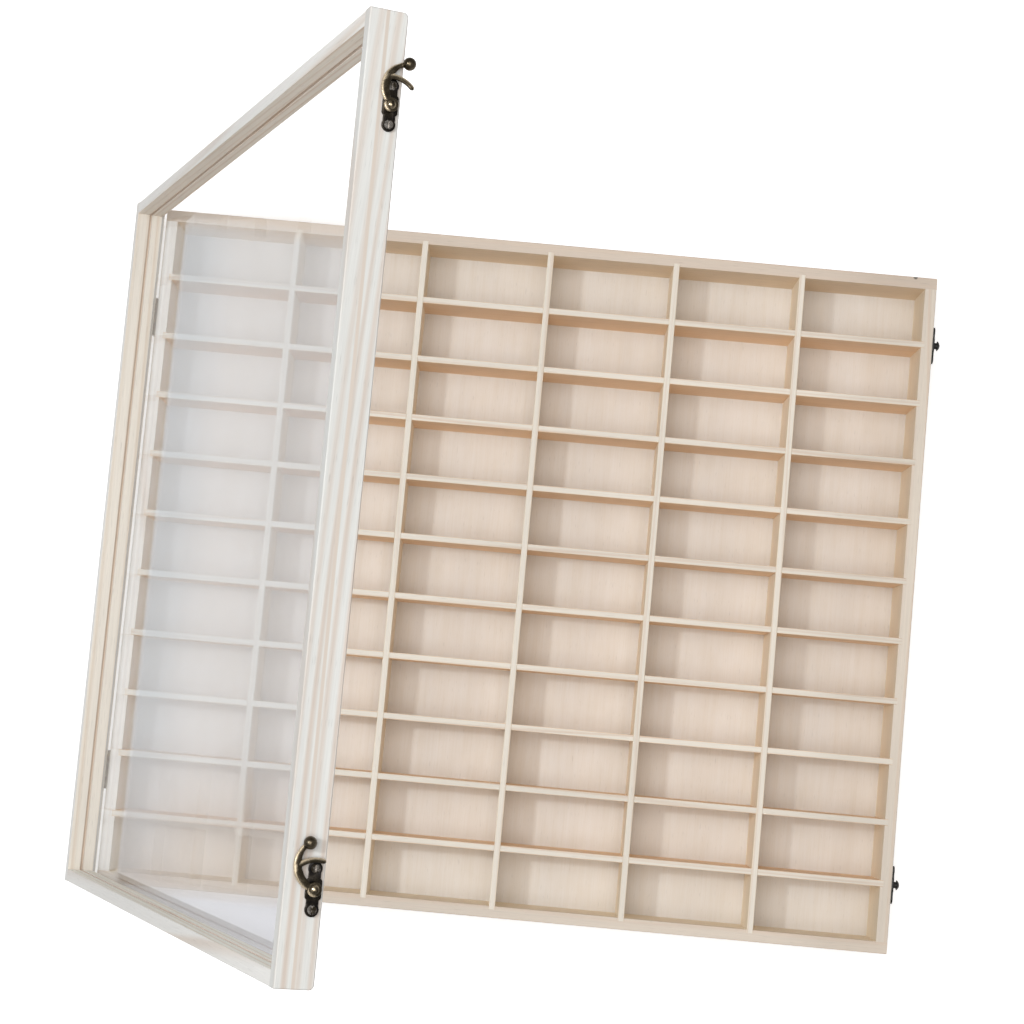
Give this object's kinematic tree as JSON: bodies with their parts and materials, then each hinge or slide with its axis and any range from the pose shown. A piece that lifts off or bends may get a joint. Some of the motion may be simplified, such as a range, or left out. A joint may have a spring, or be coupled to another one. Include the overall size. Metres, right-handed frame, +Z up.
{
  "type": "model car display case",
  "caption": "Shallow wooden tray divided by crossed strips into a grid of small compartments, with a hinged clear-panelled lid and swing-hook latches.",
  "frame": {"origin": "middle of the tray's underside", "axes": "+Z up from the underside; +X along the tray's long side, away from the hinges, towards the latches; +Y along the short side, towards the back board"},
  "size_m": [0.5391, 0.4454, 0.5384],
  "materials": {
    "tray_wood": "unfinished pine, sanded",
    "floor_plywood": "thin plywood, sanded",
    "lid_wood": "unfinished pine, sanded",
    "clear_panel": "clear polished sheet",
    "hinge_metal": "aged bronze plating",
    "latch_metal": "aged bronze plating",
    "keeper_metal": "blackened steel"
  },
  "bodies": {
    "tray": {"tray_wall_back": "tray_wood", "tray_wall_front": "tray_wood", "tray_wall_left": "tray_wood", "tray_wall_right": "tray_wood", "floor_panel": "floor_plywood", "column_divider_1": "tray_wood", "column_divider_2": "tray_wood", "column_divider_3": "tray_wood", "column_divider_4": "tray_wood", "column_divider_5": "tray_wood", "row_divider_1": "tray_wood", "row_divider_2": "tray_wood", "row_divider_3": "tray_wood", "row_divider_4": "tray_wood", "row_divider_5": "tray_wood", "row_divider_6": "tray_wood", "row_divider_7": "tray_wood", "row_divider_8": "tray_wood", "row_divider_9": "tray_wood", "row_divider_10": "tray_wood", "hinge_back_tray_leaf": "hinge_metal", "hinge_back_pin": "hinge_metal", "hinge_front_tray_leaf": "hinge_metal", "hinge_front_pin": "hinge_metal", "tray_hinge_screws": "hinge_metal", "keeper_back_strap": "keeper_metal", "keeper_back_stud": "keeper_metal", "keeper_front_strap": "keeper_metal", "keeper_front_stud": "keeper_metal", "keeper_screws": "keeper_metal"},
    "lid": {"lid_hinge_stile": "lid_wood", "lid_free_rail": "lid_wood", "lid_rail_back": "lid_wood", "lid_rail_front": "lid_wood", "lid_panel": "clear_panel", "hinge_back_lid_leaf": "hinge_metal", "hinge_front_lid_leaf": "hinge_metal", "lid_hinge_screws": "hinge_metal", "latch_back_strap": "latch_metal", "latch_back_rivet": "latch_metal", "latch_front_strap": "latch_metal", "latch_front_rivet": "latch_metal", "latch_screws": "latch_metal"},
    "latch_back": {"latch_back_lever": "latch_metal"},
    "latch_front": {"latch_front_lever": "latch_metal"}
  },
  "joints": [
    {"name": "lid_swing", "type": "hinge", "parent": "tray", "child": "lid", "pos_m": [-0.26, 0, 0.04515], "axis": [0, -1, 0], "range_deg": [-69, 111]},
    {"name": "latch_back_swing", "type": "hinge", "parent": "lid", "child": "latch_back", "pos_m": [-0.07935, 0.1782, 0.53012], "axis": [0.3584, 0, 0.9336], "range_deg": [-67, 113]},
    {"name": "latch_front_swing", "type": "hinge", "parent": "lid", "child": "latch_front", "pos_m": [-0.07935, -0.1782, 0.53012], "axis": [0.3584, 0, 0.9336], "range_deg": [-97, 83]}
  ]
}
